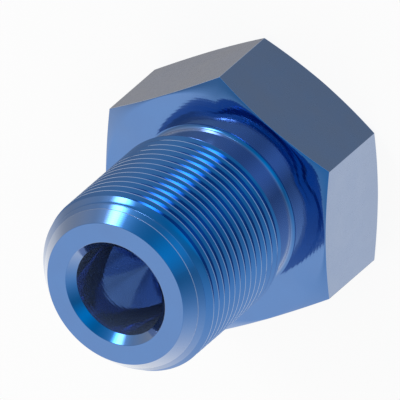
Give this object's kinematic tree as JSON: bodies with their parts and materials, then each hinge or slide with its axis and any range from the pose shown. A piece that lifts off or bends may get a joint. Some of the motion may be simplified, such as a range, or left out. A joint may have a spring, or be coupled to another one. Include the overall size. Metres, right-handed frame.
{
  "type": "o-ring boss plug",
  "caption": "Hexagon-headed straight-thread plug with a neck for a sealing ring, a chamfered nose and a blind bore in the nose.",
  "frame": {"origin": "On the plug's axis, at the middle of the head's end face, which it stands on", "axes": "+Z along the axis from the head to the nose, +X through a corner of the hexagon, +Y square to a pair of flats"},
  "size_m": [0.0416, 0.036, 0.0434],
  "materials": {
    "anodised": "clear blue anodised, turned and milled"
  },
  "bodies": {
    "root": {"plug": "anodised"}
  },
  "joints": []
}
